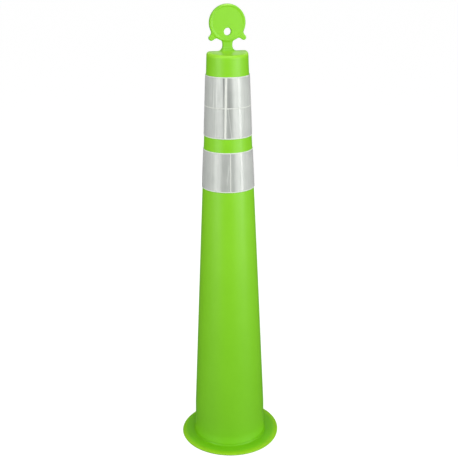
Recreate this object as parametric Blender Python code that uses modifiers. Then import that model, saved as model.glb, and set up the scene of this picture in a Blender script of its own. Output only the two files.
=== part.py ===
"""Channelizer cone with a grab handle: one hollow moulding and two slip-on reflective collars.

Metres, +Z up. The origin is on the cone's axis, in the plane that the flange stands on.
The handle is a flat plate in the XZ plane, so its faces look along -Y and +Y.
Every turned piece has the same number of facets in the same phase, which keeps the gap
between one sleeve and the next even all the way round.
"""

import math

import bmesh
import bpy
from mathutils import Matrix, Vector

# ---- Driving dimensions -------------------------------------------------------------

SEGMENTS = 72
GAP = 0.00025

# The moulding's levels above the floor, and the outer radius of its wall at each of them.
FOOT_Z, FOOT_R = 0.024, 0.0969
BAND_Z, BAND_R = 0.095, 0.0958
HEAD_Z, HEAD_R = 1.000, 0.0542
TOP_Z, TOP_R = 1.0668, 0.0516
WALL = 0.0035
SHOULDER_ROUND = 0.006
# The top is a low gable, pinched up towards the handle's plane, with its ridge along X.
RIDGE_RISE = 0.0058

# The flange: a flat ring with a rolled rim, joined to the wall by a steep step.
FLANGE_R = 0.1375
FLANGE_FLAT_Z = 0.006
RIM_ROLL = 0.004
RIM_INNER_R = 0.127
STEP_R = 0.1005
STEP_Z = 0.0095
STEP_TOE_R = 0.104

# The handle plate.
HANDLE_R = 0.0450
HANDLE_Z = 1.1401
WEB = 0.011
BEAD_WIDTH = 0.0074
BEAD_DEPTH = 0.014
BEAD_ROUND = 0.003
# The plate ends this far inside the bead's outer face.
PLATE_INSET = 0.0006
NECK_HALF = 0.012
NECK_CORNER = 0.003
NECK_FLARE = 0.0125
BITE_R = 0.014
BITE_Z = 1.0895
EAR_R = 0.0062
EAR_X, EAR_Z = 0.0406, 1.1040
EAR_PINCH_R = 0.014
HOLE_R = 0.0092
HOLE_Z = 1.1189

# The collars: a white vinyl sleeve with a prismatic film on it. Heights are 6 in and 4 in.
UPPER_BOTTOM, UPPER_TOP = 0.8634, 1.0158
LOWER_BOTTOM, LOWER_TOP = 0.7275, 0.8291
SLEEVE = 0.00045
FILM = 0.00035
TRIM = 0.0025
LOOSE_TOP = 0.0008
LOOSE_BOTTOM = 0.0006
UPPER_SEAM, UPPER_SEAM_WIDTH = math.radians(-16.7), 0.0056
LOWER_SEAM, LOWER_SEAM_WIDTH = math.radians(-6.7), 0.0020

PARTS = bpy.data.collections.new("channelizer_cone")
TOOLS = bpy.data.collections.new("tools")


# ---- Scene and materials ------------------------------------------------------------


def clear_scene():
    for old in list(bpy.data.objects):
        bpy.data.objects.remove(old)
    for collection in (PARTS, TOOLS):
        bpy.context.scene.collection.children.link(collection)


def srgb(red, green, blue):
    """An 8-bit display colour as linear RGBA."""
    def linear(value):
        value /= 255
        return value / 12.92 if value <= 0.04045 else ((value + 0.055) / 1.055) ** 2.4

    return linear(red), linear(green), linear(blue), 1.0


def material(name, colour, roughness, metallic=0.0):
    made = bpy.data.materials.new(name)
    made.use_nodes = True
    shader = made.node_tree.nodes["Principled BSDF"]
    shader.inputs["Base Color"].default_value = colour
    shader.inputs["Roughness"].default_value = roughness
    shader.inputs["Metallic"].default_value = metallic
    made.diffuse_color = colour
    return made


# ---- Shapes -------------------------------------------------------------------------


def arc(centre, radius, start, end, steps):
    """Points on a circle about centre, from one angle to the other, in degrees."""
    angles = [math.radians(start + (end - start) * i / steps) for i in range(steps + 1)]
    return [
        (centre[0] + radius * math.cos(a), centre[1] + radius * math.sin(a)) for a in angles
    ]


def as_tool(obj):
    """Marks a shape that is only joined to, or cut from, another piece."""
    obj.hide_render = True
    obj.display_type = "WIRE"
    return obj


def add_object(name, data, collection, skin=None):
    obj = bpy.data.objects.new(name, data)
    collection.objects.link(obj)
    if skin:
        data.materials.append(skin)
    return obj


def turned(name, profile, collection, skin=None, closed=True, base=0.0, facets=SEGMENTS):
    """A profile of (radius, height) points turned about Z, its heights counted from base."""
    count = len(profile)
    edges = [(i, i + 1) for i in range(count - 1)]
    if closed:
        edges.append((count - 1, 0))
    mesh = bpy.data.meshes.new(name)
    mesh.from_pydata([(radius, 0, height - base) for radius, height in profile], edges, [])
    obj = add_object(name, mesh, collection, skin)
    screw = obj.modifiers.new("turn", "SCREW")
    screw.axis = "Z"
    screw.steps = screw.render_steps = facets
    screw.use_merge_vertices = True
    screw.merge_threshold = 0.00001
    screw.use_smooth_shade = True
    return obj


def as_mesh(obj):
    """Gives an object the mesh that its modifiers make, and removes them."""
    bpy.context.view_layer.update()
    evaluated = obj.evaluated_get(bpy.context.evaluated_depsgraph_get())
    obj.data = bpy.data.meshes.new_from_object(evaluated)
    obj.modifiers.clear()
    return obj


def combine(obj, other, operation):
    boolean = obj.modifiers.new(f"{operation.lower()}_{other.name}", "BOOLEAN")
    boolean.object = other
    boolean.operation = operation
    boolean.solver = "EXACT"


def plate(name, loops, thickness):
    """A flat plate in the XZ plane from closed loops of (x, z) points, centred on y = 0."""
    curve = bpy.data.curves.new(name + "_outline", "CURVE")
    curve.dimensions = "2D"
    curve.fill_mode = "BOTH"
    curve.extrude = thickness / 2
    for loop in loops:
        spline = curve.splines.new("POLY")
        spline.points.add(len(loop) - 1)
        for point, (x, z) in zip(spline.points, loop):
            point.co = (x, z, 0, 1)
        spline.use_cyclic_u = True
    outline = add_object(name + "_outline", curve, TOOLS)
    outline.rotation_euler = (math.pi / 2, 0, 0)
    bpy.context.view_layer.update()
    evaluated = outline.evaluated_get(bpy.context.evaluated_depsgraph_get())
    mesh = bpy.data.meshes.new_from_object(evaluated)
    shape = bmesh.new()
    shape.from_mesh(mesh)
    bmesh.ops.remove_doubles(shape, verts=shape.verts, dist=0.00001)
    bmesh.ops.recalc_face_normals(shape, faces=shape.faces)
    shape.to_mesh(mesh)
    shape.free()
    made = add_object(name, mesh, TOOLS)
    made.matrix_world = outline.matrix_world
    bpy.data.objects.remove(outline)
    return as_tool(made)


def rounded_rectangle(half_x, half_y, corner, steps=4):
    """Points round a rectangle with round corners, anticlockwise."""
    centres = ((1, 1), (-1, 1), (-1, -1), (1, -1))
    points = []
    for quarter, (side_x, side_y) in enumerate(centres):
        centre = (side_x * (half_x - corner), side_y * (half_y - corner))
        points += arc(centre, corner, 90 * quarter, 90 * (quarter + 1), steps)
    return points


def loft(name, sections, heights):
    """A closed body through level sections that all have the same number of points."""
    shape = bmesh.new()
    rings = [
        [shape.verts.new((x, y, height)) for x, y in section]
        for section, height in zip(sections, heights)
    ]
    for below, above in zip(rings, rings[1:]):
        for i, corner in enumerate(below):
            before = i - 1
            shape.faces.new((below[before], corner, above[i], above[before]))
    shape.faces.new(reversed(rings[0]))
    shape.faces.new(rings[-1])
    bmesh.ops.recalc_face_normals(shape, faces=shape.faces)
    mesh = bpy.data.meshes.new(name)
    shape.to_mesh(mesh)
    shape.free()
    return as_tool(add_object(name, mesh, TOOLS))


# ---- The moulding -------------------------------------------------------------------


def wall_radius(height):
    """The outer radius of the moulding's wall, which is straight between its levels."""
    levels = ((FOOT_Z, FOOT_R), (BAND_Z, BAND_R), (HEAD_Z, HEAD_R), (TOP_Z, TOP_R))
    for (low, radius_low), (high, radius_high) in zip(levels, levels[1:]):
        if height <= high:
            break
    return radius_low + (radius_high - radius_low) * (height - low) / (high - low)


def shoulder_edge():
    """Radius and height of the circle where the top's slopes end and the shoulder starts."""
    round_z = TOP_Z - SHOULDER_ROUND
    return wall_radius(round_z) - SHOULDER_ROUND, round_z


def raise_gable(mesh):
    """Lifts a level top into the gable: by the full rise along the ridge and not at all at
    the front and back of the shoulder. The lift fades out down the wall."""
    edge_r, round_z = shoulder_edge()
    for vertex in mesh.vertices:
        x, y, z = vertex.co
        from_ridge = abs(y) / max(edge_r, math.hypot(x, y))
        fade = min(1.0, max(0.0, (z - HEAD_Z) / (round_z - HEAD_Z)))
        vertex.co.z += RIDGE_RISE * (1 - from_ridge) * fade


def shell_profile():
    """The hollow moulding without its handle: outside from the top down, then the inside up."""
    flat_r, round_z = shoulder_edge()
    shoulder = arc((flat_r, round_z), SHOULDER_ROUND, 90, 0, 5)
    outside_wall = [(wall_radius(z), z) for z in (HEAD_Z, BAND_Z, FOOT_Z)]
    step = [(STEP_R, STEP_Z), (STEP_TOE_R, FLANGE_FLAT_Z)]
    rim_centre = (FLANGE_R - RIM_ROLL, RIM_ROLL)
    rim = [(RIM_INNER_R, FLANGE_FLAT_Z)] + arc(rim_centre, RIM_ROLL, 120, -90, 7)
    inside_wall = [(wall_radius(z) - WALL, z) for z in (BAND_Z, HEAD_Z)]
    mouth = [(wall_radius(FOOT_Z) - WALL, 0.0)]
    inside_round = SHOULDER_ROUND - WALL
    ceiling = arc((flat_r, round_z), inside_round, 0, 90, 3)
    outside = [(0.0, TOP_Z)] + shoulder + outside_wall + step + rim
    return outside + mouth + inside_wall + ceiling + [(0.0, TOP_Z - WALL)]


def circle_touching(centre_a, radius_a, centre_b, radius_b, radius):
    """The centre of a circle of this radius that touches two others from outside, on the
    left of the way from a to b."""
    a, b = Vector(centre_a), Vector(centre_b)
    reach_a, reach_b = radius_a + radius, radius_b + radius
    along = (b - a).normalized()
    span = (b - a).length
    forward = (reach_a**2 - reach_b**2 + span**2) / (2 * span)
    sideways = math.sqrt(reach_a**2 - forward**2)
    return a + along * forward + Vector((-along.y, along.x)) * sideways


def direction(start, end):
    """The angle in degrees of the way from one point to another."""
    return math.degrees(math.atan2(end[1] - start[1], end[0] - start[0]))


def handle_outline():
    """The handle plate's outline: a disc on a neck, with an ear on each side under the disc."""
    disc, disc_r = (0.0, HANDLE_Z), HANDLE_R - PLATE_INSET
    ear = (EAR_X, EAR_Z)
    bite = (NECK_HALF + BITE_R, BITE_Z)
    pinch = circle_touching(disc, disc_r, ear, EAR_R, EAR_PINCH_R)
    # A straight stretch joins the bite to the ear: the crossing tangent of their circles.
    apart = math.dist(bite, ear)
    tangent = direction(bite, ear) + math.degrees(math.acos((BITE_R + EAR_R) / apart))
    half = [(NECK_HALF, TOP_Z)]
    half += arc(bite, BITE_R, 180, tangent, 9)
    half += arc(ear, EAR_R, tangent - 180, direction(ear, pinch), 9)
    half += arc(pinch, EAR_PINCH_R, direction(ear, pinch) + 180, direction(pinch, disc), 5)[1:]
    half += arc(disc, disc_r, direction(disc, pinch), 90, 14)[1:]
    return half + [(-x, z) for x, z in reversed(half[:-1])]


def handle_plate():
    hole = arc((0.0, HOLE_Z), HOLE_R, 0, 345, 23)
    return plate("handle_plate", [handle_outline(), hole], WEB)


def handle_bead():
    """The rounded bead round the disc, proud of both of its faces."""
    middle_r = HANDLE_R - BEAD_WIDTH / 2
    section = rounded_rectangle(BEAD_WIDTH / 2, BEAD_DEPTH / 2, BEAD_ROUND, steps=3)
    profile = [(middle_r + across, depth) for across, depth in reversed(section)]
    bead = as_tool(turned("handle_bead", profile, TOOLS, facets=60))
    bead.matrix_world = Matrix.Translation((0, 0, HANDLE_Z)) @ Matrix.Rotation(math.pi / 2, 4, "X")
    return bead


def neck_foot():
    """The neck's flared foot, a fillet all round it that runs out on the gable's slopes."""
    sunk = 0.0002
    rises = [NECK_FLARE * share for share in (0.02, 0.08, 0.2, 0.4, 0.65, 1.0)]
    flares = [NECK_FLARE - math.sqrt(NECK_FLARE**2 - (NECK_FLARE - rise) ** 2) for rise in rises]
    heights = [TOP_Z - WALL / 2] + [TOP_Z + rise for rise in rises]
    sections = [
        rounded_rectangle(
            NECK_HALF - sunk + flare, WEB / 2 - sunk + flare, NECK_CORNER + flare
        )
        for flare in [flares[0]] + flares
    ]
    foot = loft("neck_foot", sections, heights)
    raise_gable(foot.data)
    return foot


def make_moulding(skin):
    body = as_mesh(turned("cone_body", shell_profile(), PARTS, skin, closed=False))
    raise_gable(body.data)
    for piece in (handle_plate(), neck_foot(), handle_bead()):
        combine(body, piece, "UNION")


# ---- The collars --------------------------------------------------------------------


class Sleeve:
    """A collar's inner surface: a straight taper between its two edges."""

    def __init__(self, bottom, top, loose_bottom, loose_top):
        self.bottom, self.top = bottom, top
        self.bottom_r = wall_radius(bottom) + GAP + loose_bottom
        self.top_r = wall_radius(top) + GAP + loose_top

    def radius(self, height):
        share = (height - self.bottom) / (self.top - self.bottom)
        return self.bottom_r + (self.top_r - self.bottom_r) * share

    def ring(self, low, high, inset, thickness):
        """The profile of a ring on this sleeve, lying inset metres out from its inside."""
        outer, inner = inset + thickness, inset
        return [
            (self.radius(high) + outer, high),
            (self.radius(low) + outer, low),
            (self.radius(low) + inner, low),
            (self.radius(high) + inner, high),
        ]


def seam_slab(name, azimuth, width, bottom, top):
    """A thin upright slab through one side of a collar. Azimuth 0 is -Y, and it grows to +X."""
    reach = 2 * wall_radius(bottom)
    margin = 0.01
    mesh = bpy.data.meshes.new(name)
    shape = bmesh.new()
    bmesh.ops.create_cube(shape, size=1.0)
    size = Vector((width, reach, top - bottom + 2 * margin))
    bmesh.ops.scale(shape, vec=size, verts=shape.verts)
    bmesh.ops.translate(shape, vec=(0, -reach / 2, (bottom + top) / 2), verts=shape.verts)
    shape.to_mesh(mesh)
    shape.free()
    slab = as_tool(add_object(name, mesh, TOOLS))
    slab.rotation_euler = (0, 0, azimuth)
    return slab


def make_collar(prefix, sleeve, film_rows, azimuth, seam_width, skins):
    """A white backing sleeve, rows of film on it that stop at the seam, and the seam's strip."""
    slide = add_object(prefix + "_slide", None, PARTS)
    slide.location = (0, 0, sleeve.bottom)
    film_inset = SLEEVE + GAP
    pieces = [
        turned(
            prefix + "_collar_backing",
            sleeve.ring(sleeve.bottom, sleeve.top, 0, SLEEVE),
            PARTS,
            skins["vinyl"],
            base=sleeve.bottom,
        )
    ]
    slot = seam_slab(
        prefix + "_seam_slot", azimuth, seam_width + 2 * GAP, sleeve.bottom, sleeve.top
    )
    for name, low, high in film_rows:
        profile = sleeve.ring(low, high, film_inset, FILM)
        film = turned(name, profile, PARTS, skins["film"], base=sleeve.bottom)
        combine(film, slot, "DIFFERENCE")
        pieces.append(film)
    low, high = sleeve.bottom + TRIM, sleeve.top - TRIM
    profile = sleeve.ring(low, high, film_inset, FILM)
    strip = turned(prefix + "_seam_strip", profile, PARTS, skins["vinyl"], base=sleeve.bottom)
    keep = seam_slab(prefix + "_seam_width", azimuth, seam_width, sleeve.bottom, sleeve.top)
    combine(strip, keep, "INTERSECT")
    pieces.append(strip)
    for piece in pieces:
        piece.parent = slide


def make_upper_collar(skins):
    sleeve = Sleeve(UPPER_BOTTOM, UPPER_TOP, 0.0, LOOSE_TOP)
    middle = (UPPER_BOTTOM + UPPER_TOP) / 2
    rows = (
        ("upper_film_bottom_row", UPPER_BOTTOM + TRIM, middle - TRIM / 2),
        ("upper_film_top_row", middle + TRIM / 2, UPPER_TOP - TRIM),
    )
    make_collar("upper", sleeve, rows, UPPER_SEAM, UPPER_SEAM_WIDTH, skins)


def make_lower_collar(skins):
    sleeve = Sleeve(LOWER_BOTTOM, LOWER_TOP, LOOSE_BOTTOM, 0.0)
    rows = (("lower_film", LOWER_BOTTOM + TRIM, LOWER_TOP - TRIM),)
    make_collar("lower", sleeve, rows, LOWER_SEAM, LOWER_SEAM_WIDTH, skins)


def main():
    clear_scene()
    make_moulding(material("lime_polyethylene", srgb(132, 212, 44), 0.42))
    skins = {
        "vinyl": material("white_vinyl", srgb(232, 238, 230), 0.45),
        "film": material("prismatic_film", srgb(196, 204, 196), 0.25, metallic=0.6),
    }
    make_upper_collar(skins)
    make_lower_collar(skins)


main()
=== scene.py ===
"""The looks of the channelizer cone: moulded lime polyethylene and two prismatic collars.

Metres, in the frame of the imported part. Azimuth 0 is -Y and grows towards +X, so an azimuth
names the side of the cone that a camera at that azimuth sees.
"""

import math

import bpy
import numpy as np
from mathutils import Matrix, Vector


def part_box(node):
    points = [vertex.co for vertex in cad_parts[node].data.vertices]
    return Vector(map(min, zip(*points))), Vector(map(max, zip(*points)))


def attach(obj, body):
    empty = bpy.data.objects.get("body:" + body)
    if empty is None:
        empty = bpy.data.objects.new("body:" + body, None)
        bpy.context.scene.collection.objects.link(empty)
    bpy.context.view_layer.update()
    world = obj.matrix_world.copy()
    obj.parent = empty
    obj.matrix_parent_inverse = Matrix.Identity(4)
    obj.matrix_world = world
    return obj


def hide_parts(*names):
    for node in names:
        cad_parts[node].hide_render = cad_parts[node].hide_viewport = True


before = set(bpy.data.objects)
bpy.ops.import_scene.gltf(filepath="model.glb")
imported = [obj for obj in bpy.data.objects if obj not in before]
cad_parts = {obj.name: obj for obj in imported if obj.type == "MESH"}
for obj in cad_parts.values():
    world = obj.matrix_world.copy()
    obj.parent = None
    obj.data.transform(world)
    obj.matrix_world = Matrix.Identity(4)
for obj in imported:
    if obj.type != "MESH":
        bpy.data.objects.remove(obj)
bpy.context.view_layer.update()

# ---- Sizes, read from the frame where it has them -----------------------------------

MM = 0.001
_, BODY_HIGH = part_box("cone_body")
FLANGE_R = BODY_HIGH.x
HANDLE_TOP = BODY_HIGH.z

# The moulding's wall: height and outer radius of each level, from the floor up.
WALL_LEVELS = ((0.024, 0.0969), (0.095, 0.0958), (1.000, 0.0542), (1.0668, 0.0516))
FOOT_Z, BAND_Z, HEAD_Z, TOP_Z = (level for level, _ in WALL_LEVELS)
WALL = 3.5 * MM
SHOULDER_ROUND = 8.5 * MM
SHOULDER_Z = TOP_Z - SHOULDER_ROUND
# The top is a low gable, pinched up towards the handle's plane, with its ridge along X.
RIDGE_RISE, RIDGE_ROUND = 5.8 * MM, 2.5 * MM

FLANGE_FLAT_Z = 6 * MM
# The rim swells a little above the flat, then rolls off to its rounded lip.
RIM_START_R, RIM_CREST_R, RIM_SWELL = FLANGE_R - 20 * MM, FLANGE_R - 14 * MM, 0.3 * MM
LIP_Z = 3 * MM
# The step at the wall's foot: its rounded edge, and the toe where it meets the flat.
STEP_R, STEP_Z = 0.0980, 9.5 * MM
STEP_TOE_R = 0.0998
# How far the rim strays from a true circle: on average, and in one, two and three waves
# round it, each with its size and its phase in degrees.
FLANGE_MEAN_DRIFT = -0.7 * MM
FLANGE_DRIFTS = ((2.5 * MM, 77.5), (2.2 * MM, -71.3), (1.3 * MM, 82.8))
# The rim's top rises by up to this much, in waves about half of it: how many there are round
# the rim, their share of the rise, and their phase in radians.
FLANGE_LIFT = 0.9 * MM
FLANGE_LIFT_WAVES = ((2, 0.3, 0.6), (3, 0.2, 2.1))

# The handle is a disc with a bead round its rim, on a neck that flares out of the top. An ear
# stands out on each side under the disc, with a round bite between it and the neck.
HANDLE_R = 0.0450
HANDLE_Z = HANDLE_TOP - HANDLE_R
WEB = 11 * MM
BEAD_WIDTH, BEAD_DEPTH, BEAD_ROUND = 6.4 * MM, 14 * MM, 3.2 * MM
BEAD_FILLET = 1.4 * MM
NECK_HALF = 12 * MM
NECK_FLARE = 12.5 * MM
BITE_R, BITE_Z = 14 * MM, 1.0895
EAR_R, EAR_X, EAR_Z = 6.2 * MM, 0.0406, 1.1040
EAR_PINCH_R = 14 * MM
HOLE_R, HOLE_Z = 9.2 * MM, 1.1189
EDGE_ROUND = 1.6 * MM
HOLE_ROUND = 1.0 * MM
# The handle's mesh takes in a round patch of the top, and is found in a box this wide.
PATCH_R = 34 * MM
HANDLE_BOX_HALF = 60 * MM

CAMERA_AZIMUTH = math.radians(-12)


def direction_at(azimuth):
    """The level unit vector that points from the axis to an azimuth."""
    return Vector((math.sin(azimuth), -math.cos(azimuth), 0))


# ---- Meshes -------------------------------------------------------------------------


def arc(centre, radius, start, end, steps):
    """Points on a circle about centre, from one angle to the other, in degrees."""
    across, up = centre
    angles = np.radians(np.linspace(start, end, steps + 1))
    return [(across + radius * math.cos(a), up + radius * math.sin(a)) for a in angles]


def stretch(start, end, longest):
    """Points from start to end in steps no longer than this, without the last."""
    count = max(1, math.ceil(math.dist(start, end) / longest))
    return [tuple(a + (b - a) * i / count for a, b in zip(start, end)) for i in range(count)]


def steps_between(low, high, longest):
    """Evenly spaced values from low to high, both included, no further apart than this."""
    count = max(1, math.ceil(abs(high - low) / longest))
    return [low + (high - low) * i / count for i in range(count + 1)]


def add_piece(name, vertices, faces, body, skin, node):
    """A smooth-shaded mesh that rides on a body and stands for a CAD node."""
    mesh = bpy.data.meshes.new(name)
    mesh.from_pydata([tuple(v) for v in vertices], [], [tuple(f) for f in faces])
    mesh.validate()
    mesh.shade_smooth()
    mesh.materials.append(skin)
    piece = bpy.data.objects.new(name, mesh)
    bpy.context.scene.collection.objects.link(piece)
    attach(piece, body)
    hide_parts(node)
    return piece


class Surface:
    """Vertices and faces gathered into one mesh."""

    def __init__(self):
        self.vertices = []
        self.faces = []

    def add_points(self, points):
        """Adds vertices and returns their numbers."""
        first = len(self.vertices)
        self.vertices.extend(points)
        return list(range(first, first + len(points)))

    def join_rings(self, upper, lower):
        """Quads between two rings of equally many points, facing out when upper is above."""
        for i, corner in enumerate(upper):
            before = i - 1
            self.faces.append((upper[before], lower[before], lower[i], corner))

    def turned_loop(self, loop):
        """A loop round the axis, begun next after the +X axis and ended where it begins, and
        the angle of each of its vertices from +X in radians."""
        turn = [math.atan2(self.vertices[i][1], self.vertices[i][0]) for i in loop]
        turn = [angle % (2 * math.pi) for angle in turn]
        start = turn.index(min(turn))
        order = loop[start:] + loop[:start]
        turn = turn[start:] + turn[:start]
        return order + [order[0]], turn + [turn[0] + 2 * math.pi]

    def stitch(self, inner, outer):
        """Triangles, facing up, between two loops that go anticlockwise round the axis."""
        (near, near_turn), (far, far_turn) = self.turned_loop(inner), self.turned_loop(outer)
        i = j = 0
        while i < len(near) - 1 or j < len(far) - 1:
            step_far = i == len(near) - 1
            if not step_far and j < len(far) - 1:
                step_far = far_turn[j + 1] <= near_turn[i + 1]
            if step_far:
                self.faces.append((near[i], far[j], far[j + 1]))
                j += 1
            else:
                self.faces.append((near[i], far[j], near[i + 1]))
                i += 1


# ---- The moulding -------------------------------------------------------------------

TURN_STEPS = 256


def wall_radius(height):
    """The outer radius of the moulding's wall."""
    levels, radii = zip(*WALL_LEVELS)
    return float(np.interp(height, levels, radii))


SHOULDER_R = wall_radius(SHOULDER_Z) - SHOULDER_ROUND


def gable_lift(x, y, z):
    """How far the gable raises a point of a level top: most along the ridge and not at all at
    the front and back of the shoulder. The lift fades out down the wall."""
    y = y * SHOULDER_R / np.maximum(SHOULDER_R, np.hypot(x, y))
    from_ridge = (np.hypot(y, RIDGE_ROUND) - RIDGE_ROUND) / SHOULDER_R
    fade = np.clip((z - HEAD_Z) / (SHOULDER_Z - HEAD_Z), 0, 1)
    return RIDGE_RISE * (1 - from_ridge) * fade


def direction_of(start, end):
    """The angle of the line from start to end, in degrees."""
    return math.degrees(math.atan2(end[1] - start[1], end[0] - start[0]))


def circle_touching(centre_a, radius_a, centre_b, radius_b, radius):
    """The centre of a circle of this radius that touches two others from outside."""
    a, b = Vector(centre_a), Vector(centre_b)
    reach_a, reach_b = radius_a + radius, radius_b + radius
    along, span = (b - a).normalized(), (b - a).length
    forward = (reach_a**2 - reach_b**2 + span**2) / (2 * span)
    sideways = math.sqrt(reach_a**2 - forward**2)
    return a + along * forward + Vector((-along.y, along.x)) * sideways


def handle_outline():
    """The handle plate's outline in (x, z): a disc on a neck, with an ear on each side."""
    disc, disc_r = (0.0, HANDLE_Z), HANDLE_R - BEAD_ROUND / 2
    ear, bite = (EAR_X, EAR_Z), (NECK_HALF + BITE_R, BITE_Z)
    pinch = circle_touching(disc, disc_r, ear, EAR_R, EAR_PINCH_R)
    tangent = math.degrees(math.acos((BITE_R + EAR_R) / math.dist(bite, ear)))
    tangent += direction_of(bite, ear)
    to_pinch, to_disc = direction_of(ear, pinch), direction_of(pinch, disc)
    half = [(NECK_HALF, TOP_Z - NECK_FLARE)]
    half += arc(bite, BITE_R, 180, tangent, 20)
    half += arc(ear, EAR_R, tangent - 180, to_pinch, 16)
    half += arc(pinch, EAR_PINCH_R, to_pinch + 180, to_disc, 8)[1:]
    half += arc(disc, disc_r, direction_of(disc, pinch), 90, 30)[1:]
    return np.array(half + [(-x, z) for x, z in reversed(half[:-1])])


def outline_distance(x, z, outline):
    """The signed distance of points in the plate's plane from its outline, inside negative."""
    points = np.stack([x, z], axis=-1).reshape(-1, 1, 2)
    start, end = outline, np.roll(outline, -1, axis=0)
    side = end - start
    share = ((points - start) * side).sum(-1) / (side**2).sum(-1)
    nearest = start + np.clip(share, 0, 1)[..., None] * side
    distance = np.linalg.norm(points - nearest, axis=-1).min(axis=1)
    spans = (start[:, 1] <= points[..., 1]) != (end[:, 1] <= points[..., 1])
    with np.errstate(divide="ignore", invalid="ignore"):
        cut = start[:, 0] + (points[..., 1] - start[:, 1]) * side[:, 0] / side[:, 1]
    inside = (spans & (points[..., 0] < cut)).sum(axis=1) % 2 == 1
    return np.where(inside, -distance, distance).reshape(x.shape)


class OutlineMap:
    """The distance from the handle's outline, sampled once and read in between."""

    def __init__(self, low, high, step):
        self.low, self.step = np.array([low[0], low[2]]), step
        x, z = (np.arange(low[axis], high[axis] + step, step) for axis in (0, 2))
        self.samples = outline_distance(*np.meshgrid(x, z, indexing="ij"), handle_outline())

    def __call__(self, x, z):
        last = np.array(self.samples.shape) - 1.001
        u = np.clip((x - self.low[0]) / self.step, 0, last[0])
        v = np.clip((z - self.low[1]) / self.step, 0, last[1])
        i, j = u.astype(int), v.astype(int)
        u, v = u - i, v - j
        near = self.samples[i, j] * (1 - v) + self.samples[i, j + 1] * v
        far = self.samples[i + 1, j] * (1 - v) + self.samples[i + 1, j + 1] * v
        return near * (1 - u) + far * u


def rounded_box(across, depth, edge):
    """How far points lie outside a block that two faces bound, its edge rounded to this
    radius. across and depth are how far they lie outside each face."""
    out = np.hypot(np.maximum(across + edge, 0), np.maximum(depth + edge, 0))
    return np.minimum(np.maximum(across, depth) + edge, 0) + out - edge


def fillet_union(a, b, radius):
    """Two bodies joined with a round fillet of this radius."""
    blend = np.hypot(np.maximum(radius - a, 0), np.maximum(radius - b, 0))
    return np.maximum(radius, np.minimum(a, b)) - blend


def rounded_cut(body, tool, radius):
    """A body with a tool cut away, the edges rounded to this radius."""
    out = np.hypot(np.maximum(radius + body, 0), np.maximum(radius - tool, 0))
    return np.minimum(-radius, np.maximum(body, -tool)) + out


def handle_field(x, y, z, flat):
    """How far points lie outside the handle and the gabled top under it, inside negative.
    flat is their distance from the plate's outline."""
    body = rounded_box(flat, np.abs(y) - WEB / 2, EDGE_ROUND)
    from_centre = np.hypot(x, z - HANDLE_Z)
    across = np.abs(from_centre - HANDLE_R + BEAD_WIDTH / 2) - BEAD_WIDTH / 2
    bead = rounded_box(across, np.abs(y) - BEAD_DEPTH / 2, BEAD_ROUND)
    body = fillet_union(body, bead, BEAD_FILLET)
    body = rounded_cut(body, np.hypot(x, z - HOLE_Z) - HOLE_R, HOLE_ROUND)
    gable_slope = math.atan(RIDGE_RISE / SHOULDER_R)
    roof = (z - TOP_Z - gable_lift(x, y, TOP_Z)) * math.cos(gable_slope)
    return fillet_union(body, roof, NECK_FLARE)


def surface_net(field, corner, step):
    """Vertices and quads on the zero level of a field sampled on a cubic grid: one vertex in
    each cell that the level cuts, at the middle of its cuts through the cell's edges."""
    inside = field < 0
    cells = tuple(n - 1 for n in field.shape)
    total, count = np.zeros(cells + (3,)), np.zeros(cells)
    crossings = []
    for axis in range(3):
        low = tuple(slice(0, -1) if a == axis else slice(None) for a in range(3))
        high = tuple(slice(1, None) if a == axis else slice(None) for a in range(3))
        crossing = inside[low] != inside[high]
        drop = np.where(crossing, field[low] - field[high], 1)
        share = np.where(crossing, field[low] / drop, 0)
        crossings.append((axis, crossing, inside[low]))
        first, second = (a for a in range(3) if a != axis)
        for offset_a in (0, 1):
            for offset_b in (0, 1):
                window = [slice(None)] * 3
                window[first] = slice(offset_a, cells[first] + offset_a)
                window[second] = slice(offset_b, cells[second] + offset_b)
                hit = crossing[tuple(window)]
                total[..., axis] += share[tuple(window)]
                total[..., first] += hit * offset_a
                total[..., second] += hit * offset_b
                count += hit
    used = count > 0
    numbers = np.full(cells, -1)
    numbers[used] = np.arange(used.sum())
    places = np.argwhere(used) + total[used] / count[used][:, None]
    quads = []
    for axis, crossing, low_inside in crossings:
        first, second = (a for a in range(3) if a != axis)
        at = np.argwhere(crossing)
        keep = (at[:, first] > 0) & (at[:, second] > 0)
        keep &= (at[:, first] < cells[first]) & (at[:, second] < cells[second])
        at = at[keep]
        around = []
        for shift_a, shift_b in ((-1, -1), (0, -1), (0, 0), (-1, 0)):
            cell = at.copy()
            cell[:, first] += shift_a
            cell[:, second] += shift_b
            around.append(numbers[tuple(cell.T)])
        quad = np.stack(around, axis=1)
        turned = low_inside[tuple(at.T)] ^ (axis == 1)
        quad[~turned] = quad[~turned][:, ::-1]
        quads.append(quad)
    return np.array(corner) + places * step, np.concatenate(quads)


def settle_on_surface(points, flat_distance, rounds=4):
    """Moves points along the field's slope until they lie on its zero level. Where the field
    is nearly flat, the move is held back."""
    reach = 0.05 * MM
    flattest = 0.25

    def level(p):
        return handle_field(p[:, 0], p[:, 1], p[:, 2], flat_distance(p[:, 0], p[:, 2]))

    for _ in range(rounds):
        slope = np.empty_like(points)
        for axis in range(3):
            nudge = np.zeros(3)
            nudge[axis] = reach
            slope[:, axis] = (level(points + nudge) - level(points - nudge)) / (2 * reach)
        steep = np.maximum((slope**2).sum(axis=1), flattest)
        points = points - slope * (level(points) / steep)[:, None]
    return points


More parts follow.
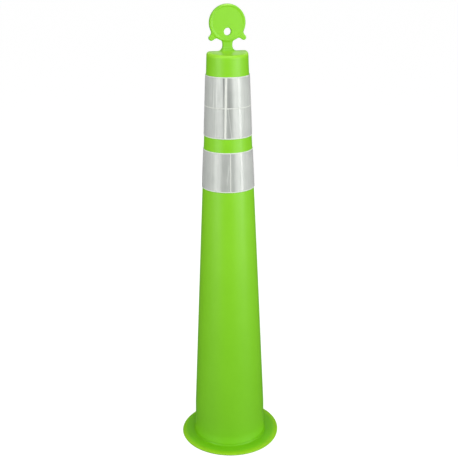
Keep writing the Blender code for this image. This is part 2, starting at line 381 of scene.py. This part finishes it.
def handle_patch(step=1.0 * MM):
    """The handle, its flared foot and a round patch of the top: vertices, quads, and the
    loop of vertices round the patch's edge, anticlockwise."""
    margin = 4 * step
    low = np.array([-HANDLE_BOX_HALF, -PATCH_R - margin, TOP_Z - margin])
    high = np.array([HANDLE_BOX_HALF, PATCH_R + margin, HANDLE_TOP + margin])
    flat_distance = OutlineMap(low, high, step / 3)
    x, y, z = (np.arange(a, b, step) for a, b in zip(low, high))
    flat = flat_distance(*np.meshgrid(x, z, indexing="ij"))
    field = handle_field(x[:, None, None], y[None, :, None], z[None, None, :], flat[:, None, :])
    points, quads = surface_net(field, low, step)
    points = settle_on_surface(points, flat_distance)
    low_down = points[:, 2] < TOP_Z + RIDGE_RISE + step
    away = (np.hypot(points[:, 0], points[:, 1]) > PATCH_R) & low_down
    quads = quads[~away[quads].any(axis=1)]
    used, renumbered = np.unique(quads, return_inverse=True)
    points, quads = points[used], renumbered.reshape(quads.shape)
    sides = np.concatenate([quads[:, [i, (i + 1) % 4]] for i in range(4)])
    known = {tuple(side) for side in sides.tolist()}
    rim = [a for a, b in known if (b, a) not in known]
    turn = np.arctan2(points[rim][:, 1], points[rim][:, 0]) % (2 * math.pi)
    rim = [rim[i] for i in np.argsort(turn)]
    ring = points[rim]
    points[rim, :2] = ring[:, :2] * (PATCH_R / np.hypot(ring[:, 0], ring[:, 1]))[:, None]
    points[rim, 2] = TOP_Z + gable_lift(points[rim, 0], points[rim, 1], TOP_Z)
    return points, quads, rim


def rim_profile():
    """The rim as (radius, height): a faint swell up from the flat, then a soft roll-off to a
    lip that turns back under the flange."""
    profile = []
    for share in np.linspace(0, 1, 6)[:-1]:
        radius = RIM_START_R + (RIM_CREST_R - RIM_START_R) * share
        profile.append((radius, FLANGE_FLAT_Z + RIM_SWELL * (1 - math.cos(math.pi * share)) / 2))
    crest = FLANGE_FLAT_Z + RIM_SWELL
    for angle in np.radians(np.linspace(90, 0, 16)):
        radius = RIM_CREST_R + (FLANGE_R - RIM_CREST_R) * math.cos(angle) ** 0.9
        profile.append((radius, LIP_Z + (crest - LIP_Z) * math.sin(angle)))
    return profile + arc((FLANGE_R - LIP_Z, LIP_Z), LIP_Z, -12, -90, 7)


def step_profile(foot_r):
    """The step at the wall's foot as (radius, height), down to its toe on the flange's flat."""
    turn = 1.5 * MM
    return [
        (foot_r, FOOT_Z),
        (foot_r + 0.5 * MM, FOOT_Z - turn),
        (STEP_R - 0.5 * MM, STEP_Z + turn),
        (STEP_R + 0.3 * MM, STEP_Z - 0.6 * MM),
        (STEP_R + 1.4 * MM, FLANGE_FLAT_Z + 0.7 * MM),
        (STEP_TOE_R, FLANGE_FLAT_Z),
    ]


def outside_profile():
    """The turned skin as (radius, height), from the handle's patch out and down to the lip."""
    ring_gap = 1.5 * MM
    profile = stretch((PATCH_R + ring_gap, TOP_Z), (SHOULDER_R, TOP_Z), ring_gap)
    profile += arc((SHOULDER_R, SHOULDER_Z), SHOULDER_ROUND, 90, 0, 12)[:-1]
    levels = [(wall_radius(z), z) for z in (SHOULDER_Z, HEAD_Z, BAND_Z, FOOT_Z)]
    for above, below in zip(levels, levels[1:]):
        profile += stretch(above, below, 12 * MM)
    profile += step_profile(levels[-1][0])
    flat_end = (RIM_START_R, FLANGE_FLAT_Z)
    return profile + stretch(profile[-1], flat_end, 4 * MM)[1:] + rim_profile()


def inside_profile(lip):
    """From the rim's lip in under the flange, up the inside and across the ceiling."""
    turn = 1.5 * MM
    foot_r = wall_radius(FOOT_Z) - WALL
    profile = stretch(lip, (foot_r + turn, 0), 8 * MM)[1:]
    profile += arc((foot_r + turn, turn), turn, 270, 180, 4)[:-1]
    levels = [(foot_r, turn)]
    levels += [(wall_radius(z) - WALL, z) for z in (BAND_Z, HEAD_Z, SHOULDER_Z)]
    for below, above in zip(levels, levels[1:]):
        profile += stretch(below, above, 25 * MM)
    profile += arc((SHOULDER_R, SHOULDER_Z), SHOULDER_ROUND - WALL, 0, 90, 6)[1:]
    return profile + stretch(profile[-1], (4 * MM, TOP_Z - WALL), 4 * MM)[1:]


def warped_flange(radius, height, turn):
    """Where a ring of the turned skin really lies: soft polyethylene never cools quite round
    or flat, and this rim is trimmed a little off centre. Above the step it lies true."""
    azimuth = turn + math.pi / 2
    outward = max(0.0, (radius - STEP_R) / (FLANGE_R - STEP_R)) if height < STEP_Z else 0.0
    drift = FLANGE_MEAN_DRIFT + sum(
        size * np.cos(order * azimuth - math.radians(phase))
        for order, (size, phase) in enumerate(FLANGE_DRIFTS, start=1)
    )
    wave = 0.5
    for count, share, phase in FLANGE_LIFT_WAVES:
        wave = wave + share * np.sin(count * turn + phase)
    off_floor = height > 0.5 * MM
    lift = FLANGE_LIFT * wave * outward**2 * off_floor
    reach = radius + drift * outward
    x, y = reach * np.cos(turn), reach * np.sin(turn)
    return np.clip(x, -FLANGE_R, FLANGE_R), np.clip(y, -FLANGE_R, FLANGE_R), height + lift


def make_moulding(skin):
    surface = Surface()
    points, quads, rim = handle_patch()
    surface.add_points(points.tolist())
    surface.faces.extend(quads.tolist())
    turn = np.arange(TURN_STEPS) * 2 * math.pi / TURN_STEPS
    rings = []
    outside = outside_profile()
    for radius, height in outside + inside_profile(outside[-1]):
        x, y, z = warped_flange(radius, height, turn)
        z = z + gable_lift(x, y, height)
        rings.append(surface.add_points(np.stack([x, y, z], axis=1).tolist()))
    surface.stitch(rim, rings[0])
    for upper, lower in zip(rings, rings[1:]):
        surface.join_rings(upper, lower)
    peak = surface.add_points([(0, 0, TOP_Z - WALL + RIDGE_RISE)])[0]
    last = rings[-1]
    surface.faces.extend((last[i - 1], peak, last[i]) for i in range(TURN_STEPS))
    vertices, faces = surface.vertices, surface.faces
    add_piece("cone_moulding", vertices, faces, "cone", skin, "cone_body")


# ---- The collars --------------------------------------------------------------------

TRIM = 2.5 * MM
LAYER_GAP = 0.25 * MM
FILM = 0.35 * MM
# The strip over the seam: how far out of the film's face it starts, and its thickness.
STRIP_GAP, STRIP = 0.05 * MM, 0.25 * MM
BACKING_COLUMNS, FILM_COLUMNS, STRIP_COLUMNS = 360, 400, 9


class Wrinkle:
    """A soft crease in a film: a ridge, or a valley if its height is negative, or only a
    stretch of painted shade or painted light if its height is nothing.

    It runs from azimuth turn[0] at the height share[0] of its row up to turn[1] at share[1],
    in degrees from the collar's seam, and dies out beyond both ends and, over its width, to
    both sides. Its last pair is painted shade on the film: the share of colour taken off at
    its low end and at its high end, and less than 0 is painted light, which makes it paler.
    """

    FADE = 0.12

    def __init__(self, turn, share, width, height, shading_paint):
        self.turn, self.share, self.width, self.height = turn, share, width, height
        self.shading_paint = shading_paint

    def strength(self, turn, share, radius):
        """How much of the wrinkle is here, 0 to 1, and how far up it this is, 0 to 1."""
        low, high = self.share
        along = np.clip((share - low) / (high - low), 0, 1)
        middle = self.turn[0] + (self.turn[1] - self.turn[0]) * along
        apart = np.radians((turn - middle + 180) % 360 - 180) * radius / self.width
        beyond = np.maximum(np.maximum(low - share, share - high), 0) / self.FADE
        return np.exp(-(apart**2) - beyond**2), along

    def relief(self, turn, share, radius):
        """How far the wrinkle lifts the film here."""
        return self.height * self.strength(turn, share, radius)[0]

    def painted_shading(self, turn, share, radius):
        """How much shade the wrinkle paints on the film here; less than 0 is painted light."""
        strength, along = self.strength(turn, share, radius)
        return strength * (self.shading_paint[0] + (self.shading_paint[1] - self.shading_paint[0]) * along)


class Sleeve:
    """A collar's shape: a straight taper between its edges, read from its CAD backing, with
    soft buckles. wrinkles lists the creases of each row of film by the row's name."""

    def __init__(self, prefix, seam_width, seam_azimuth, skew, wrinkles):
        low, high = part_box(prefix + "_collar_backing")
        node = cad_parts[prefix + "_collar_backing"]
        corners = np.array([tuple(v.co) for v in node.data.vertices])
        heights, reach = corners[:, 2], np.hypot(corners[:, 0], corners[:, 1])
        at_bottom, at_top = reach[heights < low.z + MM], reach[heights > high.z - MM]
        self.prefix, self.body = prefix, prefix + "_collar"
        self.bottom, self.top = low.z, high.z
        self.bottom_r, self.top_r = at_bottom.min(), at_top.min()
        self.sheet = at_bottom.max() - at_bottom.min()
        self.seam_width, self.seam_azimuth, self.skew = seam_width, seam_azimuth, skew
        self.wrinkles = wrinkles

    def rise(self, height):
        """How far up the collar this height is: 0 at its bottom edge, 1 at its top edge."""
        return (height - self.bottom) / (self.top - self.bottom)

    def radius(self, height):
        """The backing's inner radius."""
        return self.bottom_r + (self.top_r - self.bottom_r) * self.rise(height)

    def seam(self, height):
        """The azimuth of the seam's middle at this height, in radians."""
        return self.seam_azimuth + self.skew * (self.rise(height) - 0.5)

    def seam_edge(self, reach, whole_turn=0.0):
        """The azimuth, as a function of height, of a line beside the seam's middle, this far
        round the backing from it."""
        return lambda h: self.seam(h) + reach / (self.radius(h) + self.sheet) + whole_turn

    def buckle(self, turn, height):
        """How far the sheet stands off here: long soft waves, at least zero."""
        around, rise = np.radians(turn), self.rise(height)
        long_wave = np.sin(7 * around + 1.3 + 1.1 * rise)
        short_wave = np.sin(11 * around + 4 * rise)
        return 0.05 * MM * (1 + 0.5 * long_wave + 0.5 * short_wave)

    def sheet_mesh(self, spans, columns, profile, row=None, closed=False):
        """A closed thin solid, and the shade and light painted at each of its vertices. profile
        is a loop of (height, stand-off) round its section, and the spans are two functions of
        height for its first and last azimuth, in radians. A film's row is its (low, high, name)."""
        heights = np.array([h for h, _ in profile])[:, None]
        offsets = np.array([o for _, o in profile])[:, None]
        start, end = spans[0](heights), spans[1](heights)
        steps = np.arange(columns)[None, :] / (columns if closed else columns - 1)
        azimuth = start + (end - start) * steps
        turn = np.degrees(azimuth) - math.degrees(self.seam_azimuth)
        radius = self.radius(heights)
        reach = radius + offsets + self.buckle(turn, heights)
        # Shade and light painted on the film along its wrinkles.
        shading_paint = np.zeros_like(reach)
        if row:
            low, high, name = row
            share = (heights - low) / (high - low)
            for wrinkle in self.wrinkles[name]:
                reach = reach + wrinkle.relief(turn, share, radius)
                shading_paint = shading_paint + wrinkle.painted_shading(turn, share, radius)
        x, y = reach * np.sin(azimuth), -reach * np.cos(azimuth)
        z = np.broadcast_to(heights, x.shape)
        surface = Surface()
        loops = [surface.add_points(points.tolist()) for points in np.stack([x, y, z], axis=2)]
        last = columns if closed else columns - 1
        for upper, lower in zip(loops, loops[1:] + loops[:1]):
            for i in range(last):
                j = (i + 1) % columns
                surface.faces.append((upper[j], upper[i], lower[i], lower[j]))
        if not closed:
            surface.faces.append([loop[0] for loop in loops])
            surface.faces.append([loop[-1] for loop in reversed(loops)])
        return surface, shading_paint.ravel()


def sheet_profile(low, high, inner, outer, edge=0.12 * MM):
    """Down the outside of a flat sheet and up its inside, with softened edges."""
    middle = steps_between(high - 4 * edge, low + 4 * edge, 4 * MM)
    heights = [high - edge] + middle + [low + edge]
    outside = [(high, outer - edge)] + [(h, outer) for h in heights] + [(low, outer - edge)]
    return outside + [(low, inner), (high, inner)]


def hem(low, high, base, crest):
    """The outside of a raised, rounded line of welded vinyl, from its top down."""
    shoulder, shoulder_at, crest_at = base + (crest - base) * 0.7, 0.25 * MM, 0.7 * MM
    upper = [(high, base), (high - shoulder_at, shoulder), (high - crest_at, crest)]
    return upper + [(low + crest_at, crest), (low + shoulder_at, shoulder), (low, base)]


def backing_profile(sleeve, rows, crest):
    """The backing's section: down its outside, with a hem at both edges and between the rows
    of film, which stand as far out as crest, and up its inside."""
    base, clear = sleeve.sheet, 0.05 * MM
    edges = [sleeve.top] + [h for low, high, _ in reversed(rows) for h in (high, low)]
    edges += [sleeve.bottom]
    corners = []
    for above, below in zip(edges[::2], edges[1::2]):
        corners += hem(below + clear, above - (clear if corners else 0), base, crest)
    corners[-1] = (sleeve.bottom, base)
    outside = []
    for above, below in zip(corners, corners[1:]):
        outside.append(above)
        if above[0] - below[0] > 8 * MM:
            outside += [(h, base) for h in steps_between(above[0], below[0], 6 * MM)[1:-1]]
    inside = [(h, 0.0) for h in steps_between(sleeve.bottom, sleeve.top, 12 * MM)]
    return outside + [corners[-1]] + inside


def make_collar(sleeve, rows, vinyl, film):
    """The backing with its hems, the rows of film and the strip that closes the seam."""
    body, prefix = sleeve.body, sleeve.prefix
    film_low = sleeve.sheet + LAYER_GAP
    film_high = film_low + FILM
    whole_turn = 2 * math.pi

    spans = (lambda h: 0 * h), (lambda h: 0 * h + whole_turn)
    profile = backing_profile(sleeve, rows, film_high)
    backing, _ = sleeve.sheet_mesh(spans, BACKING_COLUMNS, profile, closed=True)
    name, node = prefix + "_backing", prefix + "_collar_backing"
    add_piece(name, backing.vertices, backing.faces, body, vinyl, node)

    half = sleeve.seam_width / 2
    half_slot = half + LAYER_GAP
    for low, high, node in rows:
        spans = sleeve.seam_edge(half_slot), sleeve.seam_edge(-half_slot, whole_turn)
        profile = sheet_profile(low, high, film_low, film_high)
        sheet, shading_paint = sleeve.sheet_mesh(spans, FILM_COLUMNS, profile, (low, high, node))
        name = node + "_sheet"
        piece = add_piece(name, sheet.vertices, sheet.faces, body, film, node)
        # The painted shade and painted light of the wrinkles, kept on the mesh.
        painted_shading = piece.data.attributes.new("painted_shading", "FLOAT", "POINT")
        painted_shading.data.foreach_set("value", shading_paint)

    strip_low = film_high + STRIP_GAP
    profile = sheet_profile(
        sleeve.bottom + TRIM, sleeve.top - TRIM, strip_low, strip_low + STRIP
    )
    spans = sleeve.seam_edge(-half), sleeve.seam_edge(half)
    strip, _ = sleeve.sheet_mesh(spans, STRIP_COLUMNS, profile)
    name, node = prefix + "_strip", prefix + "_seam_strip"
    add_piece(name, strip.vertices, strip.faces, body, vinyl, node)


# Painted light: both flanks of the films, as the first view has them, are painted a little
# paler.
PAINTED_PALE_FLANKS = (
    Wrinkle((-90, -90), (0.0, 1.0), 22 * MM, 0.0, shading_paint=(-0.13, -0.13)),
    Wrinkle((75, 75), (0.0, 1.0), 22 * MM, 0.0, shading_paint=(-0.07, -0.07)),
)


def make_upper_collar(vinyl, film):
    # Each row's creases: their relief, and the shade and light painted along them.
    wrinkles = {
        "upper_film_top_row": (
            Wrinkle((-5.5, -5), (0.0, 1.0), 2.2 * MM, 0.25 * MM, shading_paint=(0.24, 0.66)),
            Wrinkle((9, 8), (0.0, 1.0), 7.5 * MM, -0.15 * MM, shading_paint=(0.46, 0.34)),
            Wrinkle((-22, -22), (0.0, 1.0), 14 * MM, 0.0, shading_paint=(0.1, 0.08)),
            Wrinkle((-17, -16), (0.3, 1.0), 3 * MM, 0.15 * MM, shading_paint=(0.08, -0.08)),
            Wrinkle((-24, -23), (0.1, 0.9), 1.0 * MM, 0.12 * MM, shading_paint=(-0.2, -0.14)),
            Wrinkle((-27, -28), (0.0, 0.7), 1.2 * MM, 0.10 * MM, shading_paint=(0.22, 0.1)),
            Wrinkle((-32, -31), (0.1, 0.8), 1.0 * MM, 0.12 * MM, shading_paint=(-0.22, -0.16)),
            Wrinkle((-35, -36), (0.2, 0.9), 1.0 * MM, 0.08 * MM, shading_paint=(0.2, 0.1)),
            *PAINTED_PALE_FLANKS,
        ),
        "upper_film_bottom_row": (
            Wrinkle((-6, -6), (0.0, 1.0), 2.0 * MM, 0.2 * MM, shading_paint=(0.14, 0.24)),
            Wrinkle((10, 8.5), (0.0, 1.0), 8 * MM, 0.0, shading_paint=(0.36, 0.36)),
            Wrinkle((-16, -16), (0.0, 1.0), 16 * MM, 0.0, shading_paint=(0.14, 0.14)),
            Wrinkle((13.2, 6.4), (0.0, 0.94), 0.9 * MM, 0.3 * MM, shading_paint=(-0.36, -0.36)),
            Wrinkle((-26, -25), (0.0, 1.0), 1.2 * MM, 0.10 * MM, shading_paint=(-0.12, -0.08)),
            Wrinkle((-22, -22), (0.1, 1.0), 1.4 * MM, 0.08 * MM, shading_paint=(0.12, 0.08)),
            *PAINTED_PALE_FLANKS,
        ),
    }
    seam_azimuth, skew = math.radians(-16.7), math.radians(3.0)
    sleeve = Sleeve("upper", 4.9 * MM, seam_azimuth, skew, wrinkles)
    middle = (sleeve.bottom + sleeve.top) / 2
    rows = (
        (sleeve.bottom + TRIM, middle - TRIM / 2, "upper_film_bottom_row"),
        (middle + TRIM / 2, sleeve.top - TRIM, "upper_film_top_row"),
    )
    make_collar(sleeve, rows, vinyl, film)


def make_lower_collar(vinyl, film):
    wrinkles = {
        # The row's creases: their relief, and the shade and light painted along them.
        "lower_film": (
            Wrinkle((-13, -13), (0.0, 1.0), 17 * MM, 0.0, shading_paint=(0.24, 0.24)),
            Wrinkle((7, 7), (0.0, 1.0), 8 * MM, 0.0, shading_paint=(0.22, 0.24)),
            Wrinkle((-7, -4), (0.3, 0.6), 1.6 * MM, 0.3 * MM, shading_paint=(-0.18, -0.24)),
            Wrinkle((-35, -35), (0.0, 1.0), 5 * MM, 0.15 * MM, shading_paint=(-0.05, -0.08)),
            *PAINTED_PALE_FLANKS,
        ),
    }
    seam_azimuth, skew = math.radians(-6.7), 0.0
    sleeve = Sleeve("lower", 2.0 * MM, seam_azimuth, skew, wrinkles)
    rows = ((sleeve.bottom + TRIM, sleeve.top - TRIM, "lower_film"),)
    make_collar(sleeve, rows, vinyl, film)


# ---- Materials ----------------------------------------------------------------------


class Shader:
    """A node material built with short calls."""

    def __init__(self, name):
        self.material = bpy.data.materials.new(name)
        self.material.use_nodes = True
        self.tree = self.material.node_tree
        self.principled = self.tree.nodes["Principled BSDF"]

    def feed(self, socket, value):
        if isinstance(value, bpy.types.NodeSocket):
            self.tree.links.new(value, socket)
        else:
            socket.default_value = value

    def add(self, kind, inputs=None, **settings):
        node = self.tree.nodes.new(kind)
        for key, value in settings.items():
            setattr(node, key, value)
        for socket, value in (inputs or {}).items():
            self.feed(node.inputs[socket], value)
        return node

    def surface(self, inputs):
        for socket, value in inputs.items():
            self.feed(self.principled.inputs[socket], value)

    def place(self):
        return self.add("ShaderNodeTexCoord").outputs["Object"]

    def stretched(self, scale):
        """The object's coordinates, scaled by a factor on each axis."""
        inputs = {"Vector": self.place(), "Scale": scale}
        return self.add("ShaderNodeMapping", inputs).outputs["Vector"]

    def math(self, operation, *values):
        node = self.add("ShaderNodeMath", operation=operation)
        for socket, value in zip(node.inputs, values):
            self.feed(socket, value)
        return node.outputs["Value"]

    def product(self, first, second):
        return self.math("MULTIPLY", first, second)

    def split(self, vector):
        return self.add("ShaderNodeSeparateXYZ", {"Vector": vector}).outputs

    def noise(self, scale, detail=2.0, roughness=0.5, where=None):
        inputs = {"Scale": scale, "Detail": detail, "Roughness": roughness}
        inputs["Vector"] = self.place() if where is None else where
        return self.add("ShaderNodeTexNoise", inputs).outputs["Fac"]

    def ramp(self, value, low, high, to_low=0.0, to_high=1.0):
        settings = {"Value": value, "From Min": low, "From Max": high}
        settings.update({"To Min": to_low, "To Max": to_high})
        return self.add("ShaderNodeMapRange", settings).outputs["Result"]

    def mix(self, share, first, second):
        node = self.add("ShaderNodeMix", data_type="RGBA")
        self.feed(node.inputs["Factor"], share)
        self.feed(node.inputs[6], first)
        self.feed(node.inputs[7], second)
        return node.outputs[2]

    def bump(self, height, distance, strength=1.0, normal=None):
        inputs = {"Height": height, "Distance": distance, "Strength": strength}
        if normal is not None:
            inputs["Normal"] = normal
        return self.add("ShaderNodeBump", inputs).outputs["Normal"]


def srgb(red, green, blue):
    """An 8-bit display colour as linear RGBA."""
    def linear(value):
        value /= 255
        return value / 12.92 if value <= 0.04045 else ((value + 0.055) / 1.055) ** 2.4

    return linear(red), linear(green), linear(blue), 1.0


def lime_polyethylene():
    """Satin polyethylene: faint mottling, a fine moulded grain and soft waves. It is a little
    yellower high up. Painted light makes the rim lighter and yellower, and the top and the
    handle's crest paler; painted shade darkens it round the neck and on the flange's flat,
    which is also less glossy."""
    shader = Shader("lime_polyethylene")
    mottle = shader.ramp(shader.noise(9, 4, 0.55), 0.3, 0.7)
    low_down = shader.mix(mottle, srgb(119, 197, 22), srgb(123, 201, 28))
    high_up = shader.mix(mottle, srgb(129, 203, 24), srgb(133, 207, 30))
    x, y, z = shader.split(shader.place())
    across_squared = shader.math("ADD", shader.product(x, x), shader.product(y, y))
    across = shader.math("SQRT", across_squared)

    painted_rim_light = shader.ramp(across, RIM_CREST_R - 2 * MM, FLANGE_R - 5 * MM)
    below_step = shader.ramp(z, STEP_Z + 4 * MM, STEP_Z)
    painted_flat_shade = shader.ramp(across, RIM_CREST_R, STEP_TOE_R)
    above_shoulder = shader.ramp(z, TOP_Z - 9 * MM, TOP_Z)
    below_neck = shader.ramp(z, TOP_Z + 9 * MM, TOP_Z + 4 * MM)
    above_top = shader.ramp(z, TOP_Z + 4 * MM, TOP_Z + 9 * MM)
    below_disc = shader.ramp(z, EAR_Z + 4 * MM, EAR_Z - 8 * MM)
    painted_crest_highlight = shader.ramp(z, HANDLE_TOP - 5 * MM, HANDLE_TOP - 1.5 * MM)
    tints = (
        # Painted light: the rim's roll lighter and yellower.
        (painted_rim_light, srgb(143, 204, 24)),
        # Painted shade on the flange's flat, from the step's toe out towards the rim.
        (shader.product(below_step, painted_flat_shade), srgb(108, 184, 6)),
        # Painted light: the top and its shoulder paler, a painted sheen.
        (shader.product(above_shoulder, below_neck), srgb(153, 220, 42)),
        # Painted shade round the neck, under the disc.
        (shader.product(above_top, below_disc), srgb(122, 193, 20)),
        # Painted highlight along the handle's crest.
        (painted_crest_highlight, srgb(172, 228, 92)),
    )
    colour = shader.mix(shader.ramp(z, 0.02, 0.6), low_down, high_up)
    for share, tint in tints:
        colour = shader.mix(share, colour, tint)

    normal = shader.bump(shader.noise(60), 0.3 * MM, 0.5)
    normal = shader.bump(shader.noise(1400, 3, 0.6), 0.1 * MM, 0.5, normal)
    shader.surface({
        "Base Color": colour,
        "Specular IOR Level": shader.ramp(below_step, 0.0, 1.0, 0.5, 0.25),
        "Roughness": shader.ramp(shader.noise(25, 3, 0.6), 0.2, 0.8, 0.36, 0.44),
        "Normal": normal,
    })
    return shader.material


def white_vinyl():
    """Soft white vinyl with a barely uneven colour and a leathery micro-grain."""
    shader = Shader("white_vinyl")
    colour = shader.mix(shader.noise(120, 3), srgb(214, 218, 210), srgb(226, 229, 221))
    shader.surface({
        "Base Color": colour,
        "Roughness": 0.38,
        "Normal": shader.bump(shader.noise(900), 0.1 * MM, 0.4),
    })
    return shader.material


def prismatic_film():
    """Clear film over silvery prisms: cloudy, with long upright streaks and ripples and a
    glossy top. The mesh's attribute of painted shade and painted light takes its share off
    the colour, and makes it paler where it is below 0."""
    shader = Shader("prismatic_film")
    streaks = shader.noise(1.0, 3, 0.6, shader.stretched((420, 420, 6)))
    cloud = shader.noise(30, 3)
    tone = shader.math("ADD", shader.product(streaks, 0.6), shader.product(cloud, 0.4))
    tone = shader.ramp(tone, 0.3, 0.7)
    unshaded_colour = shader.mix(tone, srgb(182, 187, 181), srgb(204, 208, 202))
    # Painted shade and painted light from the wrinkles, read from the mesh.
    painted_shading = shader.add("ShaderNodeAttribute", attribute_name="painted_shading").outputs["Fac"]
    kept = shader.math("SUBTRACT", 1.0, painted_shading)
    colour = shader.add("ShaderNodeVectorMath", {0: unshaded_colour, 1: kept}, operation="MULTIPLY")
    colour = colour.outputs["Vector"]
    ripples = shader.noise(1.0, 2, 0.5, shader.stretched((160, 160, 5)))
    normal = shader.bump(ripples, 0.4 * MM, 0.35)
    shader.surface({
        "Base Color": colour,
        "Metallic": 0.1,
        "Roughness": 0.42,
        "Sheen Weight": 0.9,
        "Sheen Roughness": 0.4,
        "Coat Weight": 0.7,
        "Coat Roughness": 0.07,
        "Normal": normal,
        "Coat Normal": normal,
    })
    return shader.material


# ---- Stage --------------------------------------------------------------------------


def make_camera():
    """The view: from a little above the handle, looking down the cone's whole height."""
    distance, height = 2.0936, 1.3414
    pitch, aim, roll = math.radians(19.31), math.radians(0.037), math.radians(0.35)
    data = bpy.data.cameras.new("camera")
    data.sensor_width = 36
    data.lens = 65.98
    camera = bpy.data.objects.new("camera", data)
    bpy.context.scene.collection.objects.link(camera)
    camera.location = direction_at(CAMERA_AZIMUTH) * distance + Vector((0, 0, height))
    heading = Matrix.Rotation(CAMERA_AZIMUTH - aim, 3, "Z")
    tilt = Matrix.Rotation(math.pi / 2 - pitch, 3, "X")
    camera.rotation_euler = (heading @ tilt @ Matrix.Rotation(-roll, 3, "Z")).to_euler()
    bpy.context.scene.camera = camera


def make_floor():
    """A white floor that shows only to the camera, so that the object's light stays the
    studio's own."""
    shader = Shader("pale_floor")
    shader.surface({
        "Base Color": (0.2, 0.2, 0.2, 1),
        "Roughness": 1.0,
        "Specular IOR Level": 0.0,
        "Emission Color": (1, 1, 1, 1),
        "Emission Strength": 0.96,
    })
    mesh = bpy.data.meshes.new("floor")
    reach = 60
    corners = [(-reach, -reach, 0), (reach, -reach, 0), (reach, reach, 0), (-reach, reach, 0)]
    mesh.from_pydata(corners, [], [(0, 1, 2, 3)])
    mesh.materials.append(shader.material)
    floor = bpy.data.objects.new("floor", mesh)
    bpy.context.scene.collection.objects.link(floor)
    floor.visible_diffuse = False
    floor.visible_glossy = False
    floor.visible_shadow = False


def make_softbox(
    name, azimuth, distance, height, size, power, target=0.6, glossy=True, diffuse=True
):
    """A rectangular soft light that faces the cone's axis at the target height. Its azimuth
    is in degrees from the camera's, towards the camera's right."""
    data = bpy.data.lights.new(name, "AREA")
    data.shape = "RECTANGLE"
    data.size, data.size_y = size
    data.energy = power
    light = bpy.data.objects.new(name, data)
    bpy.context.scene.collection.objects.link(light)
    place = direction_at(math.radians(azimuth) + CAMERA_AZIMUTH) * distance
    light.location = place + Vector((0, 0, height))
    aim = Vector((0, 0, target)) - light.location
    light.rotation_euler = aim.to_track_quat("-Z", "Y").to_euler()
    light.visible_glossy = glossy
    light.visible_diffuse = diffuse
    light.visible_camera = False


def make_world():
    """A studio that is bright on the side of the first view and dim behind the cone."""
    world = bpy.data.worlds.new("studio")
    bpy.context.scene.world = world
    world.use_nodes = True
    tree = world.node_tree
    background = tree.nodes["Background"]
    place = tree.nodes.new("ShaderNodeTexCoord")
    facing = tree.nodes.new("ShaderNodeVectorMath")
    facing.operation = "DOT_PRODUCT"
    facing.inputs[1].default_value = direction_at(CAMERA_AZIMUTH)
    tree.links.new(place.outputs["Generated"], facing.inputs[0])
    ramp = tree.nodes.new("ShaderNodeValToRGB")
    # From straight behind the cone, at 0, to the camera's side, at 1.
    stops = ((0.0, 0.07), (0.35, 0.10), (0.62, 0.28), (0.80, 0.28), (1.0, 0.22))
    for position, _ in stops[1:-1]:
        ramp.color_ramp.elements.new(position)
    for element, (position, brightness) in zip(ramp.color_ramp.elements, stops):
        element.position = position
        element.color = (brightness, brightness, brightness, 1)
    share = tree.nodes.new("ShaderNodeMapRange")
    share.inputs["From Min"].default_value = -1
    tree.links.new(facing.outputs["Value"], share.inputs["Value"])
    tree.links.new(share.outputs["Result"], ramp.inputs["Fac"])
    tree.links.new(ramp.outputs["Color"], background.inputs["Color"])
    background.inputs["Strength"].default_value = 1.0


def make_stage():
    make_camera()
    make_floor()
    make_world()
    # Each with its azimuth, distance, height, width and length, and power.
    make_softbox("right_strip", 61, 2.2, 1.1, (0.5, 2.4), 21)
    make_softbox("right_softbox", 39, 2.2, 1.1, (1.0, 2.2), 15)
    make_softbox("right_fill", 98, 2.2, 0.8, (1.0, 2.2), 8, glossy=False)
    make_softbox("left_softbox", -46, 2.2, 1.1, (1.3, 2.2), 23)
    make_softbox("left_fill", -84, 2.2, 0.9, (1.0, 1.8), 10, glossy=False)
    make_softbox("front_panel", 5, 2.4, 2.2, (1.8, 1.2), 20, target=0.5, glossy=False)
    make_softbox("overhead", 0, 0.5, 2.3, (1.4, 0.9), 2.5, target=1.0)
    make_softbox("sky", 0, 0.2, 2.6, (2.0, 2.0), 18, target=1.0, diffuse=False)
    make_softbox("backdrop", 180, 1.2, 1.85, (2.4, 0.9), 8, target=1.1)
    make_softbox("back_fill", 172, 2.6, 0.6, (1.6, 1.0), 11, target=0.5, glossy=False)
    bpy.context.scene.view_settings.view_transform = "Standard"


def main():
    make_stage()
    make_moulding(lime_polyethylene())
    vinyl, film = white_vinyl(), prismatic_film()
    make_upper_collar(vinyl, film)
    make_lower_collar(vinyl, film)


main()
